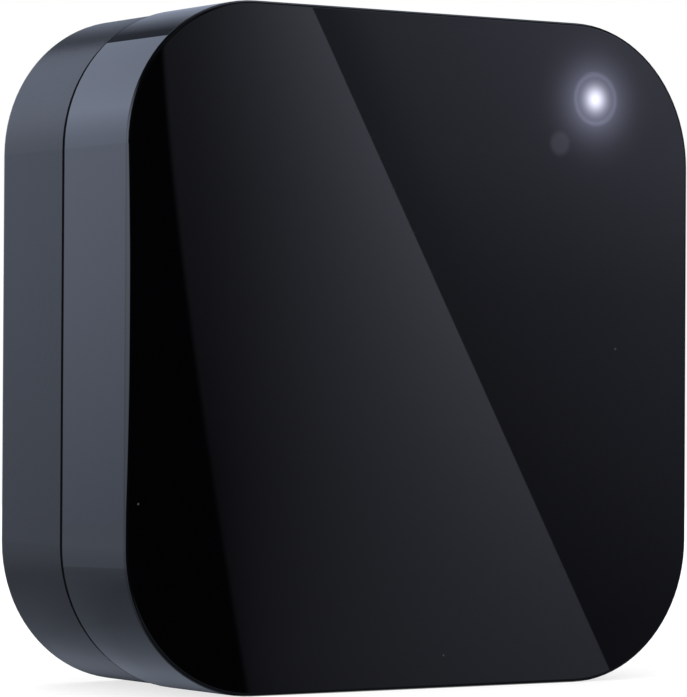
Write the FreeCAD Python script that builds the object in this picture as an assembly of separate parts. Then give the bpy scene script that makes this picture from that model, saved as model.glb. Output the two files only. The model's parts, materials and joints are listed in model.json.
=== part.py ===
"""Infrared controller for a room: a gloss black cover and a satin black housing round one board.

The case stands on its bottom wall. +X is to the right of someone facing it, +Z is up and the front
face looks along -Y. Every "depth" is a distance in millimetres behind the front face.
"""

import FreeCAD
import Part

import math
import os

from FreeCAD import Vector

# Case outline, as seen from the front
case_width = 96.0
case_height = 96.0
case_depth = 36.2
corner_radius = 20.5
front_edge_radius = 0.5
rear_edge_radius = 1.0
inner_edge_chamfer = 0.8

# Gloss cover
face_thickness = 2.2
cover_wall = 2.2
cover_depth = 17.75

# Satin housing, set slightly inside the cover's outline
housing_wall = 2.2
back_thickness = 2.2
housing_inset = 0.25

# Joint line: the housing's lip slides into a rebate inside the cover's rim
seam_gap = 0.5
seam_edge_chamfer = 0.15
rebate_wall = 1.1
lip_height = 2.4
lip_clearance = 0.1
lip_end_clearance = 0.3
root_overlap = 0.5

# Four corner bosses in the cover and screw tubes in the housing
boss_from_side = 9.0
boss_from_end = 15.5
boss_radius = 3.2
tube_radius = 4.0
tube_front_depth = 19.5
screw_seat_thickness = 2.4
rib_thickness = 1.2

# Case screws
case_screw_radius = 1.25
case_screw_length = 12.0
case_screw_head_radius = 2.4
case_screw_head_height = 1.8
screw_clearance = 0.25
thread_clearance = 0.05
pilot_extra_depth = 1.5
cross_width = 0.6
cross_depth = 0.9
cross_reach = 0.6

# Rubber feet, pressed into the recesses that hide the screws
foot_radius = 4.4
foot_proud = 0.8
foot_recess = 0.8
foot_clearance = 0.1
foot_edge_chamfer = 0.35

# Main board
board_front_depth = 19.9
board_thickness = 1.6
board_wall_gap = 2.65
board_tube_gap = 0.5
board_corner_radius = 15.5

# Posts in the housing that carry the board
post_spacing_x = 36.0
post_from_board_end = 6.0
post_radius = 2.7
board_screw_radius = 0.95
board_screw_length = 6.5
board_screw_head_radius = 1.9
board_screw_head_height = 1.4
board_hole_clearance = 0.25

# Status light: chip on the board and the smoked guide that shows in the face
light_from_side = 17.4
light_from_top = 10.8
window_radius = 3.7
window_clearance = 0.05
guide_flange_radius = 4.5
guide_flange_thickness = 1.0
guide_stem_radius = 2.5
guide_collar_wall = 0.9
guide_collar_height = 4.0
guide_chip_gap = 0.4
chip_width = 3.5
chip_height = 2.8
chip_thickness = 1.4
chip_lens_radius = 1.1
chip_lens_height = 0.3

# Infrared emitters: one straight ahead and a ring that fires through the cover's sides
emitter_count = 6
emitter_radius = 2.5
emitter_length = 7.2
emitter_flange_radius = 2.9
emitter_flange_height = 1.0
emitter_ring_radius = 23.0
emitter_axis_depth = 12.0
emitter_leg_inset = 2.0
front_emitter_base_depth = 12.7
leg_width = 0.5
leg_pitch = 2.54
leg_bend_cut = 0.8
leg_tail = 1.2
leg_hole_clearance = 0.1

# Learning receiver beside the status light
receiver_from_light_x = 6.2
receiver_from_light_z = 6.7
receiver_width = 6.0
receiver_height = 6.8
receiver_thickness = 3.0
receiver_lens_radius = 2.4
receiver_lens_height = 1.6
receiver_lens_draft = 0.8
receiver_board_gap = 1.0
receiver_leg_reach = 1.6

# Emitter drive: one resistor by each ring emitter, and the transistors that switch them
resistor_length = 3.2
resistor_width = 1.6
resistor_thickness = 0.6
resistor_ring_radius = 14.0
transistor_width = 2.9
transistor_height = 1.3
transistor_thickness = 1.0
transistor_tab_width = 0.4
transistor_tab_reach = 0.6
transistor_pitch = 5.0
transistor_from_board_side = 17.0
transistor_count = 3
tab_thickness = 0.2

# Radio module at the top of the board's rear side
module_width = 16.0
module_height = 24.0
module_thickness = 0.8
module_from_board_top = 3.0
shield_width = 14.0
shield_height = 15.0
shield_thickness = 2.0
shield_wall = 0.2
shield_corner_radius = 1.0
shield_from_module_end = 1.2
antenna_trace_width = 0.6
antenna_trace_thickness = 0.1
antenna_pitch = 2.0
antenna_finger_count = 7
antenna_finger_length = 4.2
antenna_from_module_end = 0.8

# Power and control parts on the board's rear side
regulator_from_capacitor_x = 10.0
regulator_below_centre = 12.0
regulator_width = 6.5
regulator_height = 3.5
regulator_thickness = 1.6
regulator_tab_width = 3.0
regulator_tab_reach = 1.7
regulator_leg_width = 0.7
regulator_leg_pitch = 2.3
capacitor_from_board_side = 14.0
capacitor_below_centre = 9.0
capacitor_radius = 4.0
capacitor_back_clearance = 1.5
capacitor_groove_depth = 0.35
capacitor_groove_width = 0.8
capacitor_groove_height = 1.6
capacitor_leg_pitch = 3.5
controller_x = -8.0
controller_below_centre = 3.0
controller_side = 7.0
controller_thickness = 1.0
controller_mark_radius = 0.4
controller_mark_depth = 0.1
crystal_x = -8.0
crystal_below_controller = 8.0
crystal_width = 5.0
crystal_height = 3.2
crystal_thickness = 1.1
chip_capacitor_length = 2.0
chip_capacitor_width = 1.25
chip_capacitor_thickness = 0.9
chip_capacitor_pitch = 3.2
chip_capacitor_count = 4
chip_capacitor_below_regulator = 5.5

# Power socket: an upright micro-USB receptacle at the floor of a plug recess in the back
socket_x = 0.0
socket_from_bottom = 20.0
recess_width = 12.4
recess_height = 9.0
recess_depth = 4.6
recess_corner_radius = 1.4
recess_wall = 1.6
socket_width = 7.5
socket_height = 2.6
socket_chamfer = 0.8
socket_wall = 0.25
socket_clearance = 0.2
socket_sunk = 0.2
insulator_fill = 4.2
tongue_width = 5.2
tongue_thickness = 0.6
tongue_offset = 0.35
tongue_sunk = 0.8
contact_count = 5
contact_pitch = 0.65
contact_width = 0.35
contact_thickness = 0.12
socket_tab_width = 0.8
socket_tab_clearance = 0.15

# Reset key and the tactile switch under it
key_from_socket = 14.0
key_radius = 2.5
key_clearance = 0.1
key_sunk = 0.3
key_dish_radius = 2.0
key_dish_depth = 0.25
key_flange_radius = 3.4
key_flange_thickness = 1.0
key_rest_gap = 0.1
key_stem_radius = 1.6
key_travel = 0.3
guide_wall = 1.25
guide_length = 2.0
switch_side = 6.0
switch_body_height = 3.2
switch_plate_thickness = 0.3
switch_height = 5.0
plunger_radius = 1.75
plunger_clearance = 0.1
plunger_sunk = 1.6
switch_foot_width = 0.7
switch_foot_reach = 1.0
switch_foot_spacing = 4.5

# Places that follow from the sizes above
front_y = -(case_depth + foot_proud) / 2
centre_z = case_height / 2
rim_depth = cover_depth + seam_gap
lip_front_depth = cover_depth - lip_height
lip_outer_inset = rebate_wall + lip_clearance
rebate_front_depth = lip_front_depth - lip_end_clearance
housing_inner_inset = housing_inset + housing_wall
back_inner_depth = case_depth - back_thickness
board_rear_depth = board_front_depth + board_thickness
board_inset = housing_inner_inset + board_wall_gap
board_top_z = case_height - board_inset
board_bottom_z = board_inset
screw_seat_depth = tube_front_depth + screw_seat_thickness
light_x = case_width / 2 - light_from_side
light_z = case_height - light_from_top
receiver_x = light_x - receiver_from_light_x
receiver_z = light_z - receiver_from_light_z
board_side_x = case_width / 2 - board_inset
capacitor_x = board_side_x - capacitor_from_board_side
capacitor_length = back_inner_depth - capacitor_back_clearance - board_rear_depth
regulator_x = capacitor_x - regulator_from_capacitor_x
module_top_z = board_top_z - module_from_board_top
module_z = module_top_z - module_height / 2
recess_floor_depth = case_depth - recess_depth
socket_z = socket_from_bottom
socket_mouth_depth = recess_floor_depth - socket_sunk
key_x = socket_x - key_from_socket
key_z = socket_z
guide_end_depth = back_inner_depth - guide_length
key_flange_depth = guide_end_depth - key_rest_gap
switch_top_depth = board_rear_depth + switch_height
switch_plate_depth = board_rear_depth + switch_body_height
boss_spots = [
    (side * (case_width / 2 - boss_from_side), centre_z + end * (case_height / 2 - boss_from_end))
    for side in (-1, 1)
    for end in (-1, 1)
]
post_spots = [
    (side * post_spacing_x / 2, z)
    for side in (-1, 1)
    for z in (board_bottom_z + post_from_board_end, board_top_z - post_from_board_end)
]


def y_at(depth):
    """Y of a depth behind the front face."""
    return front_y + depth


def rod(x, z, radius, from_depth, to_depth):
    """Round bar along the case's depth."""
    start = Vector(x, y_at(from_depth), z)
    return Part.makeCylinder(radius, to_depth - from_depth, start, Vector(0, 1, 0))


def block(x_low, x_high, z_low, z_high, from_depth, to_depth):
    """Square-cornered block between two depths."""
    start = Vector(x_low, y_at(from_depth), z_low)
    return Part.makeBox(x_high - x_low, to_depth - from_depth, z_high - z_low, start)


def pad(x, z, width, height, from_depth, to_depth):
    """Square-cornered block centred on a spot of the board."""
    return block(x - width / 2, x + width / 2, z - height / 2, z + height / 2, from_depth, to_depth)


def slab(x, z, width, height, radius, from_depth, to_depth):
    """Block with its four corners rounded in the plane of the front face."""
    y = y_at(from_depth)
    reach_x = width / 2 - radius
    reach_z = height / 2 - radius
    arcs = []
    for quarter, (sign_x, sign_z) in enumerate(((1, 1), (-1, 1), (-1, -1), (1, -1))):
        turns = [math.radians(90 * quarter + part) for part in (0, 45, 90)]
        arcs.append([
            Vector(
                x + sign_x * reach_x + radius * math.cos(turn),
                y,
                z + sign_z * reach_z + radius * math.sin(turn),
            )
            for turn in turns
        ])
    edges = []
    for index, arc in enumerate(arcs):
        following = arcs[(index + 1) % len(arcs)]
        edges.append(Part.Arc(*arc).toShape())
        edges.append(Part.LineSegment(arc[-1], following[0]).toShape())
    face = Part.Face(Part.Wire(edges))
    return face.extrude(Vector(0, to_depth - from_depth, 0))


def case_slab(inset, from_depth, to_depth):
    """Block with the case's own outline, drawn in by an inset."""
    return slab(
        0, centre_z, case_width - 2 * inset, case_height - 2 * inset, corner_radius - inset,
        from_depth, to_depth,
    )


def rim_edges(solid, depth):
    """Edges that lie in the plane of one depth."""
    y = y_at(depth)
    return [edge for edge in solid.Edges if all(abs(v.Point.y - y) < 1e-6 for v in edge.Vertexes)]


def round_rim(solid, depth, radius):
    """Rounds the edges at one depth."""
    return solid.makeFillet(radius, rim_edges(solid, depth))


def bevel_rim(solid, depth, size):
    """Breaks the edges at one depth with a flat bevel."""
    return solid.makeChamfer(size, rim_edges(solid, depth))


def merge(first, others):
    """One moulding out of overlapping pieces."""
    return first.fuse(others).removeSplitter()


def gussets(spot, reach_radius, wall_inset, from_depth, to_depth):
    """Two ribs that tie a boss to the nearest side wall and end wall, stopped inside the wall."""
    x, z = spot
    out_x = math.copysign(case_width, x)
    out_z = math.copysign(case_height, z - centre_z)
    half = rib_thickness / 2
    start = reach_radius / 2
    side = block(
        min(x + math.copysign(start, x), x + out_x), max(x + math.copysign(start, x), x + out_x),
        z - half, z + half, from_depth, to_depth,
    )
    z_start = z + math.copysign(start, z - centre_z)
    end = block(
        x - half, x + half, min(z_start, z + out_z), max(z_start, z + out_z), from_depth, to_depth,
    )
    limit = case_slab(wall_inset, from_depth, to_depth)
    return [side.common(limit), end.common(limit)]


def front_cover():
    """Gloss moulding: flat face, skirt with a rebated rim, four bosses and the light guide's collar."""
    skin = round_rim(case_slab(0, 0, cover_depth), 0, front_edge_radius)
    skin = bevel_rim(skin, cover_depth, seam_edge_chamfer)
    hollow = case_slab(cover_wall, face_thickness, cover_depth)
    hollow = bevel_rim(hollow, face_thickness, inner_edge_chamfer)
    rebate = case_slab(rebate_wall, rebate_front_depth, cover_depth)
    root = face_thickness - root_overlap
    grown = []
    bores = []
    for x, z in boss_spots:
        grown.append(rod(x, z, boss_radius, root, tube_front_depth))
        grown += gussets((x, z), boss_radius, cover_wall / 2, root, rebate_front_depth)
        tip_depth = screw_seat_depth - case_screw_length - pilot_extra_depth
        bores.append(rod(x, z, case_screw_radius + thread_clearance, tip_depth, tube_front_depth))
    collar_bore = guide_flange_radius + window_clearance
    collar_end = face_thickness + guide_collar_height
    grown.append(rod(light_x, light_z, collar_bore + guide_collar_wall, root, collar_end))
    bores.append(rod(light_x, light_z, collar_bore, face_thickness, collar_end))
    bores.append(rod(light_x, light_z, window_radius + window_clearance, 0, face_thickness))
    return merge(skin.cut([hollow, rebate]), grown).cut(bores)


def status_light_guide():
    """Smoked guide: a window flush with the face, a flange behind it and a stem to the light chip."""
    chip_top = board_front_depth - chip_thickness - chip_lens_height
    window = rod(light_x, light_z, window_radius, 0, face_thickness + guide_flange_thickness)
    flange_end = face_thickness + guide_flange_thickness
    flange = rod(light_x, light_z, guide_flange_radius, face_thickness, flange_end)
    stem = rod(light_x, light_z, guide_stem_radius, face_thickness, chip_top - guide_chip_gap)
    return merge(window, [flange, stem])


def rear_housing():
    """Satin moulding: back and side walls, the lip, screw tubes, board posts, plug recess, key guide."""
    skin = round_rim(case_slab(housing_inset, rim_depth, case_depth), case_depth, rear_edge_radius)
    skin = bevel_rim(skin, rim_depth, seam_edge_chamfer)
    hollow = case_slab(housing_inner_inset, rim_depth, back_inner_depth)
    hollow = bevel_rim(hollow, back_inner_depth, inner_edge_chamfer)
    lip = case_slab(lip_outer_inset, lip_front_depth, rim_depth + root_overlap)
    lip_bore = case_slab(cover_wall, lip_front_depth, rim_depth + root_overlap)
    lip_bore = lip_bore.fuse(case_slab(housing_inner_inset, rim_depth, rim_depth + root_overlap))
    root = back_inner_depth + root_overlap
    grown = [lip.cut(lip_bore)]
    bores = []
    for x, z in boss_spots:
        grown.append(rod(x, z, tube_radius, tube_front_depth, root))
        wall_inset = housing_inset + housing_wall / 2
        grown += gussets((x, z), tube_radius, wall_inset, board_rear_depth, root)
        bores.append(rod(x, z, case_screw_radius + screw_clearance, tube_front_depth, case_depth))
        head_bore = case_screw_head_radius + screw_clearance
        bores.append(rod(x, z, head_bore, screw_seat_depth, case_depth))
        recess_floor = case_depth - foot_recess
        bores.append(rod(x, z, foot_radius + foot_clearance, recess_floor, case_depth))
    for x, z in post_spots:
        grown.append(rod(x, z, post_radius, board_rear_depth, root))
        screw_end = board_front_depth + board_screw_length
        pilot_radius = board_screw_radius + thread_clearance
        bores.append(rod(x, z, pilot_radius, board_rear_depth, screw_end + pilot_extra_depth))
    pocket_width = recess_width + 2 * recess_wall
    pocket_height = recess_height + 2 * recess_wall
    pocket_corner = recess_corner_radius + recess_wall
    pocket_front = recess_floor_depth - recess_wall
    grown.append(slab(socket_x, socket_z, pocket_width, pocket_height, pocket_corner, pocket_front, root))
    bores.append(slab(
        socket_x, socket_z, recess_width, recess_height, recess_corner_radius,
        recess_floor_depth, case_depth,
    ))
    bores.append(socket_prism(socket_clearance, pocket_front, recess_floor_depth))
    bore_radius = key_radius + key_clearance
    grown.append(rod(key_x, key_z, bore_radius + guide_wall, guide_end_depth, root))
    bores.append(rod(key_x, key_z, bore_radius, guide_end_depth, case_depth))
    return merge(skin.cut(hollow), grown).cut(bores)


def pan_screw(length, radius, head_radius, head_height):
    """Cross-recessed, blunt-ended screw along +Z, seated at the origin, with its head below."""
    head = Part.makeCylinder(head_radius, head_height, Vector(0, 0, -head_height))
    screw = merge(head, [Part.makeCylinder(radius, length)])
    reach = head_radius * cross_reach
    slots = []
    for turn in (0, 90):
        slot = Part.makeBox(
            2 * reach, cross_width, cross_depth, Vector(-reach, -cross_width / 2, -head_height),
        )
        slot.rotate(Vector(0, 0, 0), Vector(0, 0, 1), turn)
        slots.append(slot)
    return screw.cut(slots)


def placed(shape, x, depth, z, direction):
    """Copy of a shape drawn along +Z, moved to a spot and turned to point along a direction."""
    copy = shape.copy()
    copy.Placement = FreeCAD.Placement(
        Vector(x, y_at(depth), z), FreeCAD.Rotation(Vector(0, 0, 1), direction),
    )
    return copy


def case_screws():
    """Screws from the back, through the tubes' seats into the cover's bosses."""
    screw = pan_screw(
        case_screw_length, case_screw_radius, case_screw_head_radius, case_screw_head_height,
    )
    return [placed(screw, x, screw_seat_depth, z, Vector(0, -1, 0)) for x, z in boss_spots]


def board_screws():
    """Screws from the front of the board into the housing's posts."""
    screw = pan_screw(
        board_screw_length, board_screw_radius, board_screw_head_radius, board_screw_head_height,
    )
    return [placed(screw, x, board_front_depth, z, Vector(0, 1, 0)) for x, z in post_spots]


def rubber_feet():
    """Round feet in the back's recesses, over the screw heads."""
    feet = []
    for x, z in boss_spots:
        foot = rod(x, z, foot_radius, case_depth - foot_recess, case_depth + foot_proud)
        feet.append(bevel_rim(foot, case_depth + foot_proud, foot_edge_chamfer))
    return feet


def emitter_leg_spots():
    """Where the emitters' legs pass through the board."""
    half = leg_pitch / 2
    spots = [(side * half, centre_z) for side in (-1, 1)]
    reach = emitter_ring_radius - emitter_leg_inset
    for index in range(emitter_count):
        turn = math.radians(360 * index / emitter_count)
        for side in (-half, half):
            spots.append((
                reach * math.cos(turn) - side * math.sin(turn),
                centre_z + reach * math.sin(turn) + side * math.cos(turn),
            ))
    return spots


def receiver_leg_spots():
    """Where the receiver's three legs pass through the board."""
    z = receiver_z - receiver_height / 2 - receiver_leg_reach
    return [(receiver_x + step * leg_pitch, z) for step in (-1, 0, 1)]


def capacitor_leg_spots():
    """Where the capacitor's two legs pass through the board."""
    z = centre_z - capacitor_below_centre
    return [(capacitor_x + side * capacitor_leg_pitch / 2, z) for side in (-1, 1)]


def socket_tab_spots():
    """Where the socket shell's two tabs pass through the board."""
    reach = (socket_width - socket_wall) / 2
    return [(socket_x + side * reach, socket_z) for side in (-1, 1)]


def main_board():
    """Glass-epoxy board with cut-away corners round the screw tubes, and its drilled holes."""
    width = 2 * board_side_x
    height = board_top_z - board_bottom_z
    board = slab(0, centre_z, width, height, board_corner_radius, board_front_depth, board_rear_depth)
    cuts = []
    notch = tube_radius + board_tube_gap
    for x, z in boss_spots:
        far_x = math.copysign(case_width, x)
        far_z = centre_z + math.copysign(case_height, z - centre_z)
        near_x = x - math.copysign(notch, x)
        near_z = z - math.copysign(notch, z - centre_z)
        cuts.append(rod(x, z, notch, board_front_depth, board_rear_depth))
        for x_start, z_start in ((near_x, z), (x, near_z)):
            cuts.append(block(
                min(x_start, far_x), max(x_start, far_x), min(z_start, far_z), max(z_start, far_z),
                board_front_depth, board_rear_depth,
            ))
    for x, z in post_spots:
        hole = board_screw_radius + board_hole_clearance
        cuts.append(rod(x, z, hole, board_front_depth, board_rear_depth))
    leg_slot = leg_width + 2 * leg_hole_clearance
    for x, z in receiver_leg_spots() + capacitor_leg_spots() + emitter_leg_spots()[:2]:
        cuts.append(pad(x, z, leg_slot, leg_slot, board_front_depth, board_rear_depth))
    ring_reach = emitter_ring_radius - emitter_leg_inset
    for side in (-1, 1):
        z = centre_z + side * leg_pitch / 2
        slot = pad(ring_reach, z, leg_slot, leg_slot, board_front_depth, board_rear_depth)
        cuts += [turned(slot, index) for index in range(emitter_count)]
    tab_slot_width = socket_wall + 2 * socket_tab_clearance
    tab_slot_height = socket_tab_width + 2 * socket_tab_clearance
    for x, z in socket_tab_spots():
        cuts.append(pad(x, z, tab_slot_width, tab_slot_height, board_front_depth, board_rear_depth))
    return board.cut(cuts)


def emitter_body():
    """Wide-angle, flat-topped 5 mm emitter along +Z: flange with its flat side, and barrel."""
    flange = Part.makeCylinder(emitter_flange_radius, emitter_flange_height)
    body = merge(flange, [Part.makeCylinder(emitter_radius, emitter_length)])
    beyond = emitter_flange_radius - emitter_radius
    flat = Part.makeBox(
        beyond, 2 * emitter_flange_radius, emitter_flange_height,
        Vector(-emitter_flange_radius, -emitter_flange_radius, 0),
    )
    return body.cut(flat)


def turned(shape, index):
    """Copy of a ring emitter's piece, turned about the case's centre to its place in the ring."""
    copy = shape.copy()
    copy.rotate(Vector(0, 0, centre_z), Vector(0, -1, 0), 360 * index / emitter_count)
    return copy


def ir_emitters():
    """One emitter in the middle that faces the room, and a ring of six that face outwards."""
    body = emitter_body()
    ahead = placed(body, 0, front_emitter_base_depth, centre_z, Vector(0, -1, 0))
    outward = placed(body, emitter_ring_radius, emitter_axis_depth, centre_z, Vector(1, 0, 0))
    return [ahead] + [turned(outward, index) for index in range(emitter_count)]


def bent_leg(start, corner, end, across):
    """Flat-cut wire from start to end with its bend's corner cut across; across is square to both runs."""
    first = (corner - start).normalize()
    second = (end - corner).normalize()
    half = leg_width / 2
    inner = corner - (first - second) * half
    outer = corner + (first - second) * half
    inner_cut = leg_bend_cut
    outer_cut = leg_bend_cut + half
    profile = [
        start - second * half, outer - first * outer_cut, outer + second * outer_cut, end + first * half,
        end - first * half, inner + second * inner_cut, inner - first * inner_cut, start + second * half,
    ]
    profile.append(profile[0])
    face = Part.Face(Part.makePolygon([point - across * half for point in profile]))
    return face.extrude(across * leg_width)


def ir_emitter_legs():
    """Two legs for each emitter: straight for the middle one, bent outwards in the ring."""
    tail_depth = board_rear_depth + leg_tail
    half = leg_pitch / 2
    legs = []
    for side in (-half, half):
        legs.append(pad(side, centre_z, leg_width, leg_width, front_emitter_base_depth, tail_depth))
    x = emitter_ring_radius - emitter_leg_inset
    for side in (-half, half):
        leg = bent_leg(
            Vector(x, y_at(tail_depth), centre_z + side),
            Vector(x, y_at(emitter_axis_depth), centre_z + side),
            Vector(emitter_ring_radius, y_at(emitter_axis_depth), centre_z + side),
            Vector(0, 0, 1),
        )
        legs += [turned(leg, index) for index in range(emitter_count)]
    return legs


def ir_receiver():
    """Black learning receiver with its tapered lens, lying along the board and facing the front."""
    back = board_front_depth - receiver_board_gap
    front = back - receiver_thickness
    body = pad(receiver_x, receiver_z, receiver_width, receiver_height, front, back)
    lens = Part.makeCone(
        receiver_lens_radius, receiver_lens_radius - receiver_lens_draft, receiver_lens_height,
        Vector(receiver_x, y_at(front), receiver_z), Vector(0, -1, 0),
    )
    return merge(body, [lens])


def ir_receiver_legs():
    """Three legs from the receiver's lower edge, bent back through the board."""
    depth = board_front_depth - receiver_board_gap - receiver_thickness / 2
    tail_depth = board_rear_depth + leg_tail
    low = receiver_z - receiver_height / 2
    return [
        bent_leg(
            Vector(x, y_at(depth), low), Vector(x, y_at(depth), z), Vector(x, y_at(tail_depth), z),
            Vector(1, 0, 0),
        )
        for x, z in receiver_leg_spots()
    ]


def status_led():
    """Light chip under the guide: a square package with a low round lens."""
    top = board_front_depth - chip_thickness
    package = pad(light_x, light_z, chip_width, chip_height, top, board_front_depth)
    lens = rod(light_x, light_z, chip_lens_radius, top - chip_lens_height, top)
    return merge(package, [lens])


def led_resistors():
    """Ceramic chips on the board's front, one behind each ring emitter."""
    back = board_front_depth
    front = back - resistor_thickness
    chip = pad(resistor_ring_radius, centre_z, resistor_length, resistor_width, front, back)
    return [turned(chip, index) for index in range(emitter_count)]


def driver_transistors():
    """Column of small three-legged packages on the board's rear."""
    front = board_rear_depth
    made = []
    for index in range(transistor_count):
        x = transistor_from_board_side - board_side_x
        z = centre_z + (index - (transistor_count - 1) / 2) * transistor_pitch
        body = pad(x, z, transistor_width, transistor_height, front, front + transistor_thickness)
        tabs = []
        for shift, side in ((-1, -1), (1, -1), (0, 1)):
            tab_x = x + shift * (transistor_width - transistor_tab_width) / 3
            tab_z = z + side * transistor_height / 2
            tabs.append(pad(
                tab_x, tab_z, transistor_tab_width, 2 * transistor_tab_reach,
                front, front + tab_thickness,
            ))
        made.append(merge(body, tabs))
    return made


def radio_module():
    """Radio's own small board, soldered to the rear of the main board."""
    rear = board_rear_depth + module_thickness
    return pad(0, module_z, module_width, module_height, board_rear_depth, rear)


def shield_z():
    """Height of the shield's middle, near the lower end of the radio module."""
    return module_top_z - module_height + shield_from_module_end + shield_height / 2


def radio_shield():
    """Drawn steel can over the radio chip."""
    base = board_rear_depth + module_thickness
    top = base + shield_thickness
    can = slab(0, shield_z(), shield_width, shield_height, shield_corner_radius, base, top)
    inside = slab(
        0, shield_z(), shield_width - 2 * shield_wall, shield_height - 2 * shield_wall,
        shield_corner_radius - shield_wall, base, top - shield_wall,
    )
    return can.cut(inside)


def radio_antenna():
    """Folded copper track at the free end of the radio module."""
    base = board_rear_depth + module_thickness
    top = base + antenna_trace_thickness
    half = antenna_trace_width / 2
    high = module_top_z - antenna_from_module_end
    low = high - antenna_finger_length
    first_x = -antenna_pitch * (antenna_finger_count - 1) / 2
    track = []
    for index in range(antenna_finger_count):
        x = first_x + index * antenna_pitch
        track.append(block(x - half, x + half, low, high, base, top))
        if index + 1 < antenna_finger_count:
            z = high if index % 2 == 0 else low + antenna_trace_width
            track.append(block(
                x - half, x + antenna_pitch + half, z - antenna_trace_width, z, base, top,
            ))
    return merge(track[0], track[1:])


def voltage_regulator():
    """Four-terminal regulator package on the board's rear."""
    x = regulator_x
    z = centre_z - regulator_below_centre
    front = board_rear_depth
    body = pad(x, z, regulator_width, regulator_height, front, front + regulator_thickness)
    reach = 2 * regulator_tab_reach
    high = z + regulator_height / 2
    low = z - regulator_height / 2
    tabs = [pad(x, high, regulator_tab_width, reach, front, front + tab_thickness)]
    for step in (-1, 0, 1):
        leg_x = x + step * regulator_leg_pitch
        tabs.append(pad(leg_x, low, regulator_leg_width, reach, front, front + tab_thickness))
    return merge(body, tabs)


def reservoir_capacitor():
    """Upright electrolytic can with the rolled groove near its base."""
    x = capacitor_x
    z = centre_z - capacitor_below_centre
    base = board_rear_depth
    can = rod(x, z, capacitor_radius, base, base + capacitor_length)
    can = bevel_rim(can, base + capacitor_length, capacitor_groove_depth)
    low = base + capacitor_groove_height
    high = low + capacitor_groove_width
    groove = rod(x, z, capacitor_radius, low, high)
    groove = groove.cut(rod(x, z, capacitor_radius - capacitor_groove_depth, low, high))
    return can.cut(groove)


def capacitor_legs():
    """Capacitor's two legs, through the board and cut short in front of it."""
    front = board_front_depth - leg_tail
    return [
        pad(x, z, leg_width, leg_width, front, board_rear_depth) for x, z in capacitor_leg_spots()
    ]


def controller_ic():
    """Flat square controller chip with its corner dot."""
    z = centre_z - controller_below_centre
    top = board_rear_depth + controller_thickness
    chip = pad(controller_x, z, controller_side, controller_side, board_rear_depth, top)
    inset = controller_side / 2 - 2 * controller_mark_radius
    dot = rod(controller_x - inset, z + inset, controller_mark_radius, top - controller_mark_depth, top)
    return chip.cut(dot)


def crystal():
    """Steel-lidded timing crystal beside the controller chip."""
    z = centre_z - controller_below_centre - crystal_below_controller
    top = board_rear_depth + crystal_thickness
    corner = crystal_thickness / 2
    return slab(crystal_x, z, crystal_width, crystal_height, corner, board_rear_depth, top)


def chip_capacitors():
    """Row of ceramic capacitors below the regulator."""
    z = centre_z - regulator_below_centre - chip_capacitor_below_regulator
    top = board_rear_depth + chip_capacitor_thickness
    first_x = regulator_x - chip_capacitor_pitch * (chip_capacitor_count - 1) / 2
    return [
        pad(
            first_x + index * chip_capacitor_pitch, z, chip_capacitor_width, chip_capacitor_length,
            board_rear_depth, top,
        )
        for index in range(chip_capacitor_count)
    ]


def socket_prism(grow, from_depth, to_depth):
    """Block with the socket's outline: square at the top, chamfered at both lower corners."""
    half_w = socket_width / 2 + grow
    half_h = socket_height / 2 + grow
    cut = socket_chamfer + grow * (2 - math.sqrt(2))
    y = y_at(from_depth)
    corners = [
        (-half_w, half_h), (half_w, half_h), (half_w, -half_h + cut), (half_w - cut, -half_h),
        (-half_w + cut, -half_h), (-half_w, -half_h + cut), (-half_w, half_h),
    ]
    outline = Part.makePolygon([Vector(socket_x + x, y, socket_z + z) for x, z in corners])
    return Part.Face(outline).extrude(Vector(0, to_depth - from_depth, 0))


def usb_shell():
    """Folded steel sleeve of the socket, standing on the board, with two solder tabs."""
    sleeve = socket_prism(0, board_rear_depth, socket_mouth_depth)
    bore = socket_prism(-socket_wall, board_rear_depth, socket_mouth_depth)
    tail_depth = board_front_depth - leg_tail
    tabs = [
        pad(x, z, socket_wall, socket_tab_width, tail_depth, board_rear_depth + root_overlap)
        for x, z in socket_tab_spots()
    ]
    return merge(sleeve.cut(bore), tabs)


def tongue_z():
    """Height of the middle of the socket's tongue."""
    return socket_z + tongue_offset


def usb_insulator():
    """Moulded block in the sleeve's foot, with the tongue that carries the contacts."""
    fill_depth = board_rear_depth + insulator_fill
    foot = socket_prism(-socket_wall, board_rear_depth, fill_depth)
    tip_depth = socket_mouth_depth - tongue_sunk
    tongue = pad(
        socket_x, tongue_z(), tongue_width, tongue_thickness, fill_depth - root_overlap, tip_depth,
    )
    return merge(foot, [tongue])


def usb_contacts():
    """Five sprung strips along the underside of the tongue."""
    high = tongue_z() - tongue_thickness / 2
    first_x = socket_x - contact_pitch * (contact_count - 1) / 2
    start = board_rear_depth + insulator_fill
    tip = socket_mouth_depth - 2 * tongue_sunk
    made = []
    for index in range(contact_count):
        x = first_x + index * contact_pitch
        made.append(block(
            x - contact_width / 2, x + contact_width / 2, high - contact_thickness, high, start, tip,
        ))
    return made


def switch_body():
    """Moulded base of the tactile switch, with the plunger's well and four solder feet."""
    base = board_rear_depth
    body = pad(key_x, key_z, switch_side, switch_side, base, switch_plate_depth)
    feet = []
    for side in (-1, 1):
        for end in (-1, 1):
            x = key_x + side * switch_side / 2
            z = key_z + end * switch_foot_spacing / 2
            feet.append(pad(x, z, 2 * switch_foot_reach, switch_foot_width, base, base + tab_thickness))
    top = switch_plate_depth + switch_plate_thickness
    well_floor = top - plunger_sunk - key_travel - plunger_clearance
    well = rod(key_x, key_z, plunger_radius + plunger_clearance, well_floor, switch_plate_depth)
    return merge(body, feet).cut(well)


def switch_plate():
    """Steel top plate of the tactile switch."""
    top = switch_plate_depth + switch_plate_thickness
    plate = pad(key_x, key_z, switch_side, switch_side, switch_plate_depth, top)
    return plate.cut(rod(key_x, key_z, plunger_radius + plunger_clearance, switch_plate_depth, top))


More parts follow.
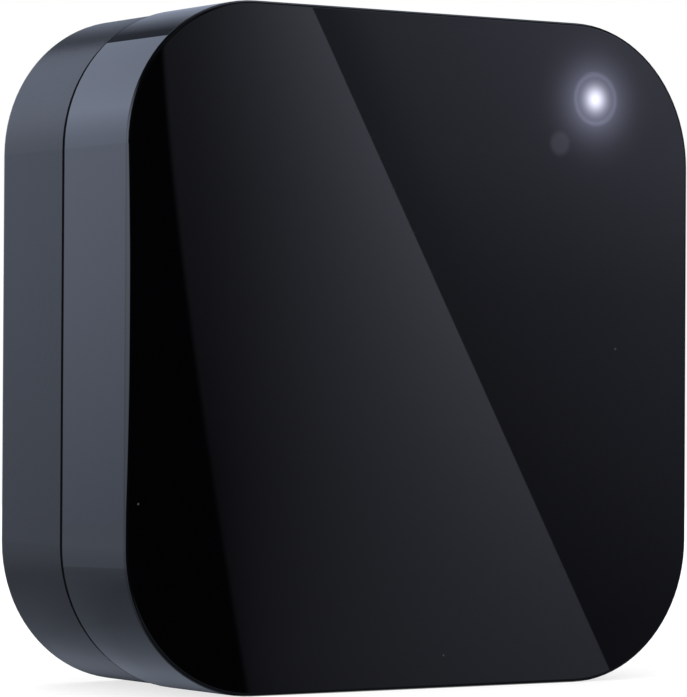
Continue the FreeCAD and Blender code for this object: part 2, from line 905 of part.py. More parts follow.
def switch_plunger():
    """Round plunger that the key pushes."""
    low = switch_plate_depth + switch_plate_thickness - plunger_sunk
    return rod(key_x, key_z, plunger_radius, low, switch_top_depth)


def reset_key():
    """Key in the back: dished cap, flange that stops behind the guide, and stem on the plunger."""
    top = case_depth - key_sunk
    cap = rod(key_x, key_z, key_radius, key_flange_depth - root_overlap, top)
    flange_start = key_flange_depth - key_flange_thickness
    flange = rod(key_x, key_z, key_flange_radius, flange_start, key_flange_depth)
    stem = rod(key_x, key_z, key_stem_radius, switch_top_depth, key_flange_depth)
    key = merge(cap, [flange, stem])
    ball_radius = (key_dish_radius**2 + key_dish_depth**2) / (2 * key_dish_depth)
    ball_depth = top - key_dish_depth + ball_radius
    ball = Part.makeSphere(ball_radius, Vector(key_x, y_at(ball_depth), key_z))
    return key.cut(ball)


def export(name, made):
    """Writes one sub-part, which is one solid or a list of separate solids."""
    pieces = made if isinstance(made, list) else [made]
    solids = [solid for piece in pieces for solid in piece.Solids]
    Part.makeCompound(solids).exportStep(f"parts/{name}.step")
    valid = all(solid.isValid() for solid in solids)
    print(f"{name}: {len(solids)} solids, {sum(solid.Volume for solid in solids):.2f} mm3, valid {valid}")


sub_parts = (
    front_cover, status_light_guide, rear_housing, reset_key, rubber_feet, case_screws, board_screws,
    main_board, ir_emitters, ir_emitter_legs, ir_receiver, ir_receiver_legs, status_led, led_resistors,
    driver_transistors, radio_module, radio_shield, radio_antenna, voltage_regulator,
    reservoir_capacitor, capacitor_legs, controller_ic, crystal, chip_capacitors,
    usb_shell, usb_insulator, usb_contacts, switch_body, switch_plate, switch_plunger,
)
os.makedirs("parts", exist_ok=True)
for sub_part in sub_parts:
    export(sub_part.__name__, sub_part())
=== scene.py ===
"""Looks of an upright infrared controller hub: its finishes, its status light, the studio and the camera.

Objects are in metres. Patterns inside the materials are in millimetres.
"""

import json
import math

import bpy
from mathutils import Matrix, Vector


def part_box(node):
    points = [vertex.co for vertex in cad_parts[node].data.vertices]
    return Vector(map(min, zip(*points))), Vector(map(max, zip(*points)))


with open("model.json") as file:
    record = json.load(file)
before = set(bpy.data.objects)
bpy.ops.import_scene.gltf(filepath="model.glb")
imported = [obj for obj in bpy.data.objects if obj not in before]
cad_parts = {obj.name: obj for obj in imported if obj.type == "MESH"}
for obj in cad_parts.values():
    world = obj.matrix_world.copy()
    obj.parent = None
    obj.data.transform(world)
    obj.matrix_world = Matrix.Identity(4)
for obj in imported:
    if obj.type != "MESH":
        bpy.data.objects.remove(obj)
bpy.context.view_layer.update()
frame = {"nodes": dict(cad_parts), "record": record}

MM_PER_M = 1000.0


def centre(node):
    """The middle of a node's box at rest, in millimetres."""
    low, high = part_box(node)
    return (low + high) / 2 * MM_PER_M


# Places on the part, in millimetres. The seam starts where the cover's rim ends
front_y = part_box("front_cover")[0].y * MM_PER_M
side_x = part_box("front_cover")[1].x * MM_PER_M
seam_y = -0.75
light_place = centre("status_light_guide")
receiver_place = centre("ir_receiver")

# Painted shade in the seam: stretches before and past the seam's start, in millimetres, made dark so that
# they give back hardly any light
rim_shade_width = 0.38
lip_shade_width = 0.75
seam_shade_metallic = 0.7
seam_shade_roughness = 1.0

# Status light, in millimetres: a hot core, a narrow and a wide glow, and a thin ring at the guide's rim
light_shift = Vector((0.25, 0.0, -0.2))
core_strength = 0.86
core_radius = 1.56
core_tint = (1.0, 1.0, 1.15)
glow_shift = Vector((0.12, 0.0, -0.4))
near_glow_strength = 0.095
near_glow_fade = 2.4
wide_glow_strength = 0.128
wide_glow_radius = 4.64
glow_tint = (0.97, 1.0, 1.45)
glow_depth = 3.0
ring_strength = 0.047
ring_radius = 3.6
ring_half_width = 0.62

# Faint disc over the receiver, a painted glow though the receiver gives no light, in millimetres
disc_shift = Vector((0.05, 0.0, -0.2))
disc_glow_strength = 0.02
disc_inner_radius = 1.1
disc_outer_radius = 2.2
disc_tint = (1.02, 1.0, 1.3)

# Dust on the moulded case, in millimetres
dust_spacing = 12.0
dust_size = 0.35
dust_roughness = 0.6

# Noise patterns lie mostly between these two values
noise_low = 0.3
noise_high = 0.7

# Camera, turned about the upright axis, tilted and rolled, at a distance from a point on the face
camera_turn = math.radians(-33.300)
camera_tilt = math.radians(-0.668)
camera_roll = math.radians(0.312)
camera_distance = 0.54251
camera_target = Vector((-0.012962, -0.0185, 0.0481005))
image_height_px = 697
focal_length_px = 3879.3
sensor_size = 36.0

# Studio, in metres
floor_reach = 4.0
front_card_y = -0.56
left_card_y = -0.57
front_wall_y = -0.58
back_card_y = 0.6
side_wall_x = 0.6
ceiling_z = 0.7
low_floor_z = -0.12
table_z = 0.0002
lamp_target = Vector((0.0, 0.0, 0.05))

# Slanted edge between the front panels, in the face's own millimetres
edge_top_x = -18.786
edge_top_z = 96.1
edge_slope = 0.5578

# Flag at the left of the front panels, in the face's own millimetres
flag_top_x = -42.55
flag_top_z = 90.0
flag_lean = 14.2
flag_bend = 1.316
flag_softness = 0.6
flag_strength = 0.008

# Table top, in millimetres
table_radius = 125.0

# Left light's round head, by the height on the part's edge at which it shows, in millimetres
head_z = 51.5
head_half_height = 25.3
head_turn = math.radians(119.0)
head_drop = math.radians(79.0)
least_turn = math.radians(36.0)
left_unlit_strength = 0.03

# Tints of the lit cards
left_panel_tint = (0.955, 1.0, 1.23, 1.0)
right_panel_tint = (0.95, 1.0, 1.28, 1.0)
back_tint = (0.88, 1.0, 1.3, 1.0)
table_tint = (0.88, 1.0, 1.25, 1.0)
left_tint = (0.9, 1.0, 1.25, 1.0)
wall_tint = (0.9, 1.0, 1.2, 1.0)


def linear(hex_colour):
    """An sRGB hex colour as the linear colour that the shader works in."""
    parts = [int(hex_colour[start:start + 2], 16) / 255 for start in (1, 3, 5)]
    return [part / 12.92 if part <= 0.04045 else ((part + 0.055) / 1.055) ** 2.4 for part in parts] + [1.0]


def wire(node, inputs):
    """Sets or links the inputs of a node. A text value is a hex colour."""
    for key, value in inputs.items():
        target = node.inputs[key]
        if isinstance(key, str):
            target = next(one for one in node.inputs if one.name == key and one.enabled)
        if isinstance(value, bpy.types.NodeSocket):
            node.id_data.links.new(value, target)
        else:
            target.default_value = linear(value) if isinstance(value, str) else value


def add(tree, kind, inputs, **settings):
    """Adds a node with its settings and inputs, and gives its first output in use."""
    node = tree.nodes.new("ShaderNode" + kind)
    for name, value in settings.items():
        setattr(node, name, value)
    wire(node, inputs)
    return next(one for one in node.outputs if one.enabled)


def calc(tree, operation, *values):
    """Arithmetic on numbers and links."""
    return add(tree, "Math", dict(enumerate(values)), operation=operation)


def vector_calc(tree, operation, *values):
    """Arithmetic on vectors and their links."""
    return add(tree, "VectorMath", dict(enumerate(values)), operation=operation)


def scaled(tree, vector, factor):
    """A vector times a number."""
    return add(tree, "VectorMath", {0: vector, "Scale": factor}, operation="SCALE")


def axes_of(tree, place):
    """The X, Y and Z of a place, by name."""
    return add(tree, "SeparateXYZ", {0: place}).node.outputs


def ramp(tree, value, start, end, low=0.0, high=1.0, kind="LINEAR"):
    """Goes from low to high while a value goes from start to end, and stays level outside."""
    inputs = {"Value": value, "From Min": start, "From Max": end, "To Min": low, "To Max": high}
    return add(tree, "MapRange", inputs, interpolation_type=kind)


def soft_ramp(tree, value, start, end, low=0.0, high=1.0):
    """A ramp that starts and ends gently."""
    return ramp(tree, value, start, end, low, high, kind="SMOOTHSTEP")


def by_noise(tree, noise, low, high):
    """A value that follows a noise pattern from low to high."""
    return ramp(tree, noise, noise_low, noise_high, low, high)


def mix(tree, share, low, high):
    """A number that goes from low to high with a share."""
    return add(tree, "Mix", {"Factor": share, "A": low, "B": high}, data_type="FLOAT")


def mix_colours(tree, share, low, high):
    """A colour that goes from one to another with a share."""
    return add(tree, "Mix", {"Factor": share, "A": low, "B": high}, data_type="RGBA")


def noise_pattern(tree, place, size, detail, roughness=0.5):
    """Noise with blotches of a size in millimetres."""
    return add(
        tree, "TexNoise", {"Vector": place, "Scale": 1 / size, "Detail": detail, "Roughness": roughness},
    )


def cell_pattern(tree, place, spacing):
    """Distance from the nearest of scattered points, as a share of their spacing in millimetres."""
    return add(tree, "TexVoronoi", {"Vector": place, "Scale": 1 / spacing})


def bumps_from(tree, height, depth, strength):
    """Bumps with a depth in metres."""
    return add(tree, "Bump", {"Height": height, "Distance": depth, "Strength": strength})


def new_material(name):
    """A material, its node tree and the place on its object in millimetres."""
    material = bpy.data.materials.new(name)
    material.use_nodes = True
    tree = material.node_tree
    place = add(tree, "TexCoord", {}).node.outputs["Object"]
    return material, tree, scaled(tree, place, MM_PER_M)


def surface(tree, inputs):
    """Gives the material's own shader its values."""
    wire(tree.nodes["Principled BSDF"], inputs)


def distance_from_axis(tree, place, axis_place):
    """How far a point lies from a line that runs straight back through the face."""
    flat = vector_calc(tree, "MULTIPLY", place, (1, 0, 1))
    return vector_calc(tree, "DISTANCE", flat, (axis_place.x, 0, axis_place.z))


def bell(tree, radius, width, strength):
    """A strength that falls off from a centre as a bell curve."""
    square = calc(tree, "POWER", radius, 2.0)
    power = calc(tree, "MULTIPLY", square, -1 / width ** 2)
    curve = calc(tree, "EXPONENT", power)
    return calc(tree, "MULTIPLY", curve, strength)


def ring_light(tree, radius):
    """The thin ring of light at the guide's rim."""
    off_ring = calc(tree, "SUBTRACT", radius, ring_radius)
    off_ring_size = calc(tree, "ABSOLUTE", off_ring)
    return soft_ramp(tree, off_ring_size, 0.0, ring_half_width, ring_strength, 0.0)


def glow_light(tree, distance):
    """The glow round the guide: a wide bell curve and a narrow peak."""
    wide_light = bell(tree, distance, wide_glow_radius, wide_glow_strength)
    near_power = calc(tree, "MULTIPLY", distance, -1 / near_glow_fade)
    near_curve = calc(tree, "EXPONENT", near_power)
    return calc(tree, "MULTIPLY_ADD", near_curve, near_glow_strength, wide_light)


def status_glow(tree, place):
    """Light from the status chip as it shows through the smoked plastic round it, and a faint painted glow
    over the receiver.
    """
    radius = distance_from_axis(tree, place, light_place + light_shift)
    glow_distance = distance_from_axis(tree, place, light_place + glow_shift)
    ringed_glow = calc(tree, "ADD", glow_light(tree, glow_distance), ring_light(tree, radius))
    # The disc over the receiver is a painted glow, since the receiver gives no light
    disc_distance = distance_from_axis(tree, place, receiver_place + disc_shift)
    disc_painted_glow = soft_ramp(tree, disc_distance, disc_inner_radius, disc_outer_radius, disc_glow_strength, 0.0)
    blue = scaled(tree, glow_tint, ringed_glow)
    white = scaled(tree, core_tint, bell(tree, radius, core_radius, core_strength))
    violet = scaled(tree, disc_tint, disc_painted_glow)
    glow_and_core = vector_calc(tree, "ADD", blue, white)
    all_light = vector_calc(tree, "ADD", glow_and_core, violet)
    near_face = ramp(tree, axes_of(tree, place)["Y"], front_y, front_y + glow_depth, 1.0, 0.0)
    return scaled(tree, all_light, near_face)


def specks_of(tree, place, spacing, size):
    """A mask of sparse round specks with soft rims."""
    cells = cell_pattern(tree, place, spacing)
    rim_start = size * 0.35 / spacing
    rim_end = size * 0.65 / spacing
    return ramp(tree, cells, rim_start, rim_end, low=1.0, high=0.0)


def polished_black_acrylic():
    """Infrared-transparent black acrylic, moulded in a polished tool.

    The eye sees sharp reflections over a black with no colour of its own, a faint haze of hairlines
    where it was wiped, and a few specks of dust.
    """
    material, tree, place = new_material("polished_black_acrylic")
    dust = specks_of(tree, place, dust_spacing, dust_size)
    colour = mix_colours(tree, dust, "#020203", "#424246")
    # Wiping marks run from side to side, some 2 mm long and 0.15 mm wide
    wiped = add(tree, "Mapping", {"Vector": place, "Rotation": (0.0, 0.6, 0.0), "Scale": (0.08, 1.0, 1.0)})
    lines = noise_pattern(tree, wiped, size=0.3, detail=2.0, roughness=0.6)
    hairlines = ramp(tree, lines, start=0.66, end=0.8, low=0.008, high=0.05)
    polish = mix(tree, dust, hairlines, dust_roughness)
    # Painted shade: the rim's last stretch beside the seam is made dark, so that it gives back hardly any
    # light
    rim = calc(tree, "GREATER_THAN", axes_of(tree, place)["Y"], seam_y - rim_shade_width)
    # The skin of the moulding waves by a tenth of a micrometre over 6 mm
    skin = noise_pattern(tree, place, size=6.0, detail=1.0)
    surface(tree, {
        "Base Color": colour,
        "Metallic": calc(tree, "MULTIPLY", rim, seam_shade_metallic),
        "Roughness": mix(tree, rim, polish, seam_shade_roughness),
        "IOR": 1.49,
        "Normal": bumps_from(tree, skin, depth=1e-7, strength=1.0),
        "Emission Color": status_glow(tree, place),
        "Emission Strength": 1.0,
    })
    return material


def polished_smoked_polycarbonate():
    """Smoked polycarbonate light guide, moulded clear and tinted.

    The eye sees the status light at its middle and otherwise the same black gloss as the cover.
    """
    material, tree, place = new_material("polished_smoked_polycarbonate")
    streaks = noise_pattern(tree, place, size=1.5, detail=2.0)
    surface(tree, {
        "Base Color": mix_colours(tree, streaks, "#030304", "#08080a"),
        "Roughness": by_noise(tree, streaks, low=0.018, high=0.03),
        "IOR": 1.49,
        "Emission Color": status_glow(tree, place),
        "Emission Strength": 1.0,
    })
    return material


def spark_eroded_black_abs():
    """Black ABS, moulded in a spark-eroded tool.

    The eye sees a satin black whose fine grain spreads each reflection into a soft sheen.
    """
    material, tree, place = new_material("spark_eroded_black_abs")
    # The real grain is about 0.05 mm across. It is drawn 0.25 mm across so that it shows
    grain = noise_pattern(tree, place, size=0.25, detail=2.0, roughness=0.6)
    pits = cell_pattern(tree, place, spacing=0.35)
    texture = calc(tree, "MULTIPLY", grain, pits)
    handled = noise_pattern(tree, place, size=18.0, detail=3.0)
    satin = by_noise(tree, handled, low=0.25, high=0.3)
    # Painted shade: the lip in the seam and the rim beside it are made dark, so that they give back hardly
    # any light
    lip = calc(tree, "LESS_THAN", axes_of(tree, place)["Y"], seam_y + lip_shade_width)
    dust = specks_of(tree, place, dust_spacing, dust_size)
    black = mix_colours(tree, grain, "#0e0e10", "#171719")
    surface(tree, {
        "Base Color": mix_colours(tree, dust, black, "#4a4a4e"),
        "Metallic": calc(tree, "MULTIPLY", lip, seam_shade_metallic),
        "Roughness": mix(tree, lip, satin, seam_shade_roughness),
        "IOR": 1.52,
        "Specular IOR Level": 0.24,
        "Normal": bumps_from(tree, texture, depth=1.2e-5, strength=0.35),
    })
    return material


def fine_grained_abs():
    """Dark grey ABS of the key and the switch's plunger, moulded with a finer grain than the housing.

    The eye sees a slightly lighter and drier grey than the satin black round it.
    """
    material, tree, place = new_material("fine_grained_abs")
    grain = noise_pattern(tree, place, size=0.15, detail=2.0)
    surface(tree, {
        "Base Color": mix_colours(tree, grain, "#1c1c1f", "#2a2a2e"),
        "Roughness": by_noise(tree, grain, low=0.38, high=0.5),
        "IOR": 1.52,
        "Normal": bumps_from(tree, grain, depth=8e-6, strength=0.4),
    })
    return material


def moulded_black_rubber():
    """Black nitrile rubber, press-moulded.

    The eye sees a dull dark grey with a powdery bloom and no sharp reflection.
    """
    material, tree, place = new_material("moulded_black_rubber")
    bloom = noise_pattern(tree, place, size=2.5, detail=4.0, roughness=0.65)
    skin = noise_pattern(tree, place, size=0.2, detail=2.0)
    surface(tree, {
        "Base Color": mix_colours(tree, bloom, "#141414", "#2b2a29"),
        "Roughness": by_noise(tree, bloom, low=0.66, high=0.85),
        "IOR": 1.52,
        "Normal": bumps_from(tree, skin, depth=2e-5, strength=0.5),
    })
    return material


def zinc_plated_steel():
    """Zinc-plated steel of the screws, barrel-plated and passivated.

    The eye sees a bluish grey metal, softly mottled, with tumbling marks.
    """
    material, tree, place = new_material("zinc_plated_steel")
    mottle = noise_pattern(tree, place, size=0.8, detail=3.0)
    marks = noise_pattern(tree, place, size=0.12, detail=2.0)
    surface(tree, {
        "Base Color": mix_colours(tree, mottle, "#a9adb6", "#c9cbc6"),
        "Metallic": 1.0,
        "Roughness": by_noise(tree, mottle, low=0.25, high=0.42),
        "Normal": bumps_from(tree, marks, depth=6e-6, strength=0.4),
    })
    return material


def masked_laminate(name, mask_colour, track_colour, track_pitch):
    """Glass-epoxy board with copper tracks under a coat of solder mask, and with a pale sawn edge."""
    material, tree, place = new_material(name)
    # Tracks are 0.3 mm wide and turn at right angles from block to block
    face = add(tree, "Mapping", {"Vector": place, "Rotation": (math.pi / 2, 0.0, 0.0)})
    tracks = add(
        tree, "TexBrick",
        {"Vector": face, "Scale": 1.0, "Mortar Size": 0.15, "Mortar Smooth": 0.1,
         "Brick Width": track_pitch * 3.5, "Row Height": track_pitch},
        offset=0.37, squash=0.6, squash_frequency=3,
    ).node.outputs["Fac"]
    vias = specks_of(tree, face, spacing=5.0, size=0.9)
    copper = calc(tree, "MAXIMUM", tracks, vias)
    coat = mix_colours(tree, copper, mask_colour, track_colour)
    normal = add(tree, "NewGeometry", {}).node.outputs["Normal"]
    square_on = calc(tree, "ABSOLUTE", axes_of(tree, normal)["Y"])
    flat = calc(tree, "GREATER_THAN", square_on, 0.7)
    surface(tree, {
        "Base Color": mix_colours(tree, flat, "#9c9464", coat),
        "Roughness": mix(tree, flat, low=0.8, high=0.28),
        "IOR": 1.55,
        "Normal": bumps_from(tree, copper, depth=3e-5, strength=0.6),
    })
    return material


def green_masked_laminate():
    """Laminate of the main board, etched, coated with green solder mask and sawn out.

    The eye sees a glossy green, lighter where a track runs beneath it, and the pale sawn edge.
    """
    return masked_laminate(
        "green_masked_laminate", mask_colour="#0c4a27", track_colour="#17683a", track_pitch=1.6,
    )


def blue_masked_laminate():
    """Laminate of the radio's own board, made as the main board is, with closer tracks under blue mask.

    The eye sees a glossy blue, lighter where a track runs beneath it, and the pale sawn edge.
    """
    return masked_laminate(
        "blue_masked_laminate", mask_colour="#12284f", track_colour="#1f4377", track_pitch=1.1,
    )


def cast_clear_epoxy():
    """Water-clear epoxy of the infrared emitters, cast in a polished cup.

    The eye sees a clear bluish body with sharp highlights.
    """
    material, tree, place = new_material("cast_clear_epoxy")
    streaks = noise_pattern(tree, place, size=2.0, detail=1.0)
    surface(tree, {
        "Base Color": mix_colours(tree, streaks, "#c3cdec", "#e3e8f6"),
        "Roughness": by_noise(tree, streaks, low=0.02, high=0.06),
        "IOR": 1.54,
        "Transmission Weight": 0.9,
    })
    return material


def drawn_metal(name, colours, roughnesses, line_scale):
    """Metal drawn or rolled to size, with fine lines along the axis whose scale is small."""
    material, tree, place = new_material(name)
    combed = add(tree, "Mapping", {"Vector": place, "Scale": line_scale})
    lines = noise_pattern(tree, combed, size=0.12, detail=2.0)
    surface(tree, {
        "Base Color": mix_colours(tree, lines, *colours),
        "Metallic": 1.0,
        "Roughness": by_noise(tree, lines, *roughnesses),
        "Normal": bumps_from(tree, lines, depth=4e-6, strength=0.5),
    })
    return material


def tinned_copper_wire():
    """Copper wire of the legs, drawn and then dipped in tin.

    The eye sees a warm silver with fine lines from front to back.
    """
    colours = ("#b9b9b5", "#d6d6d2")
    return drawn_metal("tinned_copper_wire", colours, roughnesses=(0.25, 0.4), line_scale=(1.0, 0.1, 1.0))


def rolled_tinplate():
    """Tinplate of the radio's shield and the crystal's can, rolled and pressed.

    The eye sees a bright grey with long rolling lines from side to side.
    """
    colours = ("#b4b6b8", "#cdcfd0")
    return drawn_metal("rolled_tinplate", colours, roughnesses=(0.2, 0.34), line_scale=(0.05, 1.0, 1.0))


def gilded_copper():
    """Gold-plated copper of the antenna's track and the socket's contacts.

    The eye sees a yellow metal with short lines from side to side.
    """
    colours = ("#cfa75a", "#e6c67e")
    return drawn_metal("gilded_copper", colours, roughnesses=(0.22, 0.36), line_scale=(0.3, 1.0, 1.0))


def drawn_aluminium():
    """Aluminium can of the reservoir capacitor, deep-drawn.

    The eye sees a pale bright metal with long lines from front to back.
    """
    colours = ("#c2c4c8", "#dcdee0")
    return drawn_metal("drawn_aluminium", colours, roughnesses=(0.22, 0.38), line_scale=(1.0, 0.05, 1.0))


def nickel_plated_steel():
    """Nickel-plated steel of the socket's shell and the switch's plate, rolled and pressed.

    The eye sees a warm grey metal with sharp reflections and long lines from front to back.
    """
    colours = ("#b3b2ac", "#cbcac4")
    return drawn_metal("nickel_plated_steel", colours, roughnesses=(0.18, 0.3), line_scale=(1.0, 0.08, 1.0))


def moulded_black_epoxy():
    """Black filled epoxy of the chip packages and the receiver, transfer-moulded.

    The eye sees a matt near-black with a fine mineral sparkle. The socket's insulator and the switch's
    body look the same.
    """
    material, tree, place = new_material("moulded_black_epoxy")
    filler = noise_pattern(tree, place, size=0.08, detail=3.0)
    surface(tree, {
        "Base Color": mix_colours(tree, filler, "#121214", "#242427"),
        "Roughness": by_noise(tree, filler, low=0.5, high=0.68),
        "IOR": 1.55,
        "Normal": bumps_from(tree, filler, depth=6e-6, strength=0.5),
    })
    return material


def moulded_white_resin():
    """White reflector resin of the light chip, with its yellow phosphor in the middle.

    The eye sees a clean white package round a lemon-yellow lit window.
    """
    material, tree, place = new_material("moulded_white_resin")
    radius = distance_from_axis(tree, place, light_place)
    window = ramp(tree, radius, start=1.0, end=1.1, low=1.0, high=0.0)
    grain = noise_pattern(tree, place, size=0.2, detail=2.0)
    white = mix_colours(tree, grain, "#dedcd2", "#efeee8")
    surface(tree, {
        "Base Color": mix_colours(tree, window, white, "#f0d84c"),
        "Roughness": mix(tree, window, low=0.4, high=0.12),
        "IOR": 1.5,
        "Emission Color": mix_colours(tree, window, "#000000", "#ffffff"),
        "Emission Strength": 1.0,
    })
    return material


def fired_ceramic():
    """Barium titanate ceramic of the small chips, pressed and fired.

    The eye sees a dry tan body with darker grains.
    """
    material, tree, place = new_material("fired_ceramic")
    grain = noise_pattern(tree, place, size=0.1, detail=3.0)
    surface(tree, {
        "Base Color": mix_colours(tree, grain, "#7c6247", "#a98f6d"),
        "Roughness": by_noise(tree, grain, low=0.5, high=0.7),
        "IOR": 1.6,
        "Normal": bumps_from(tree, grain, depth=5e-6, strength=0.4),
    })
    return material


finishes = {
    "gloss_cover": polished_black_acrylic(),
    "smoked_guide": polished_smoked_polycarbonate(),
    "satin_housing": spark_eroded_black_abs(),
    "key_plastic": fine_grained_abs(),
    "foot_rubber": moulded_black_rubber(),
    "screw_steel": zinc_plated_steel(),
    "board_laminate": green_masked_laminate(),
    "module_laminate": blue_masked_laminate(),
    "clear_resin": cast_clear_epoxy(),
    "tinned_wire": tinned_copper_wire(),
    "black_resin": moulded_black_epoxy(),
    "white_resin": moulded_white_resin(),
    "chip_ceramic": fired_ceramic(),
    "tinplate": rolled_tinplate(),
    "gilt_track": gilded_copper(),
    "capacitor_can": drawn_aluminium(),
    "socket_steel": nickel_plated_steel(),
}
for part in frame["record"]["subparts"]:
    for slot in frame["nodes"][part["node"]].material_slots:
        slot.material = finishes[part["material_slot"]]


def light_of_rays(tree, plain, seen):
    """A strength for ordinary rays, and another for those that show a background."""
    rays = add(tree, "LightPath", {}).node.outputs
    mirrored = calc(tree, "ADD", rays["Is Glossy Ray"], rays["Is Transmission Ray"])
    showing = add(tree, "Math", {0: rays["Is Camera Ray"], 1: mirrored}, operation="ADD", use_clamp=True)
    return mix(tree, showing, plain, seen)


def white_surroundings():
    """The white studio round the part, a little dimmer for the light that it casts."""
    world = bpy.data.worlds.new("white_surroundings")
    bpy.context.scene.world = world
    world.use_nodes = True
    tree = world.node_tree
    strength = light_of_rays(tree, plain=0.75, seen=1.0)
    wire(tree.nodes["Background"], {"Color": "#ffffff", "Strength": strength})


def sheet_of(name, corners, material):
    """A flat four-cornered sheet of the studio."""
    mesh = bpy.data.meshes.new(name)
    mesh.from_pydata(corners, [], [(0, 1, 2, 3)])
    mesh.materials.append(material)
    sheet = bpy.data.objects.new(name, mesh)
    bpy.context.scene.collection.objects.link(sheet)
    return sheet


def upright(low_x, high_x, low_z, high_z, y):
    """Corners of an upright sheet that faces along Y."""
    return [(low_x, y, low_z), (high_x, y, low_z), (high_x, y, high_z), (low_x, y, high_z)]


def sideways_wall(x):
    """Corners of a wall of the studio that faces along X."""
    return [
        (x, front_wall_y, low_floor_z), (x, back_card_y, low_floor_z),
        (x, back_card_y, ceiling_z), (x, front_wall_y, ceiling_z),
    ]


def level(low_x, high_x, low_y, high_y, z):
    """Corners of a level sheet."""
    return [(low_x, low_y, z), (high_x, low_y, z), (high_x, high_y, z), (low_x, high_y, z)]


def pale_floor():
    """Pale painted floor. It shows as white and keeps the part's soft shadow."""
    material, tree, place = new_material("pale_painted_floor")
    paint = noise_pattern(tree, place, size=300.0, detail=2.0)
    surface(tree, {
        "Base Color": mix_colours(tree, paint, "#9f9f9f", "#a4a4a4"),
        "Roughness": 0.9,
        "Specular IOR Level": 0.0,
        "Emission Color": "#ffffff",
        "Emission Strength": light_of_rays(tree, plain=0.0, seen=0.74),
    })
    floor = sheet_of("floor", level(-floor_reach, floor_reach, -floor_reach, floor_reach, 0.0), material)
    # The table cards and the low floor stand in for it in reflections
    floor.visible_glossy = False


def reflection_card(name, corners, material):
    """A lit sheet that shows in reflections alone."""
    card = sheet_of(name, corners, material)
    card.visible_camera = False
    card.visible_diffuse = False
    card.visible_transmission = False
    card.visible_shadow = False
    return card


def lit_card_material(name):
    """A material that only gives light, with its node tree and the place on it in millimetres."""
    material, tree, place = new_material(name)
    tree.nodes.remove(tree.nodes["Principled BSDF"])
    return material, tree, place


def give_light(tree, colour, strength):
    """Ends a lit card's material."""
    light = add(tree, "Emission", {"Color": colour, "Strength": strength})
    wire(tree.nodes["Material Output"], {"Surface": light})


def left_panel_strength(tree, x, z, edge_x):
    """The panel between the flag and the slanted edge.

    It brightens from the flag to the edge, more steeply and further higher up.
    """
    lean = ramp(tree, z, start=flag_top_z, end=0.0)
    lean_curve = calc(tree, "POWER", lean, flag_bend)
    flag_x = calc(tree, "MULTIPLY_ADD", lean_curve, flag_lean, flag_top_x)
    past_flag = calc(tree, "SUBTRACT", x, flag_x)
    uncovered = soft_ramp(tree, past_flag, -flag_softness, flag_softness)
    across = ramp(tree, x, flag_x, edge_x)
    steepness = ramp(tree, z, start=5.0, end=70.0, low=0.55, high=1.53)
    rise = calc(tree, "POWER", across, steepness)
    flag_side = ramp(tree, z, start=30.0, end=90.0, low=0.07, high=0.19)
    edge_side = soft_ramp(tree, z, start=-17.3, end=78.8, low=0.397, high=0.975)
    panel = ramp(tree, rise, start=0.0, end=1.0, low=flag_side, high=edge_side)
    return mix(tree, uncovered, flag_strength, panel)


def right_panel_strength(tree, z, past_edge):
    """The panel beyond the slanted edge. It brightens away from the edge, most of all high up."""
    at_edge = ramp(tree, z, start=8.0, end=76.0, low=0.097, high=0.254)
    growth_per_mm = 0.0204
    growth_across = calc(tree, "MULTIPLY_ADD", past_edge, growth_per_mm, 1.0)
    high_up = ramp(tree, z, start=55.8, end=93.5, low=0.0, high=0.51)
    off_edge = soft_ramp(tree, past_edge, start=0.0, end=12.1)
    swell = calc(tree, "MULTIPLY", high_up, off_edge)
    swollen = calc(tree, "ADD", swell, 1.0)
    grown = calc(tree, "MULTIPLY", at_edge, growth_across)
    return calc(tree, "MULTIPLY", grown, swollen)


def front_cards():
    """Two lit panels that meet in a slanted straight edge, beside a black flag.

    They are laid out in the face's own millimetres, as the camera sees them mirrored in it.
    """
    material, tree, place = lit_card_material("front_panels")
    axes = axes_of(tree, place)
    x, z = axes["X"], axes["Z"]
    edge_x = calc(tree, "MULTIPLY_ADD", z, -edge_slope, edge_top_x + edge_top_z * edge_slope)
    past_edge = calc(tree, "SUBTRACT", x, edge_x)
    right_side = calc(tree, "GREATER_THAN", past_edge, 0.0)
    left = left_panel_strength(tree, x, z, edge_x)
    right = right_panel_strength(tree, z, past_edge)
    strength = mix(tree, right_side, left, right)
    colour = mix_colours(tree, right_side, left_panel_tint, right_panel_tint)
    give_light(tree, colour, strength)

    # The panels are drawn on the face's plane, and thrown from the mirrored camera onto the card's plane
    plane_y = front_y / MM_PER_M
    mirrored = Vector((camera_place.x, 2 * plane_y - camera_place.y, camera_place.z))
    growth = (front_card_y - mirrored.y) / (plane_y - mirrored.y)
    corners = upright(low_x=-0.075, high_x=0.11, low_z=-0.03, high_z=0.19, y=plane_y)
    panels = reflection_card("front_panels", corners, material)
    panels.matrix_world = Matrix.Translation(mirrored * (1 - growth)) @ Matrix.Scale(growth, 4)


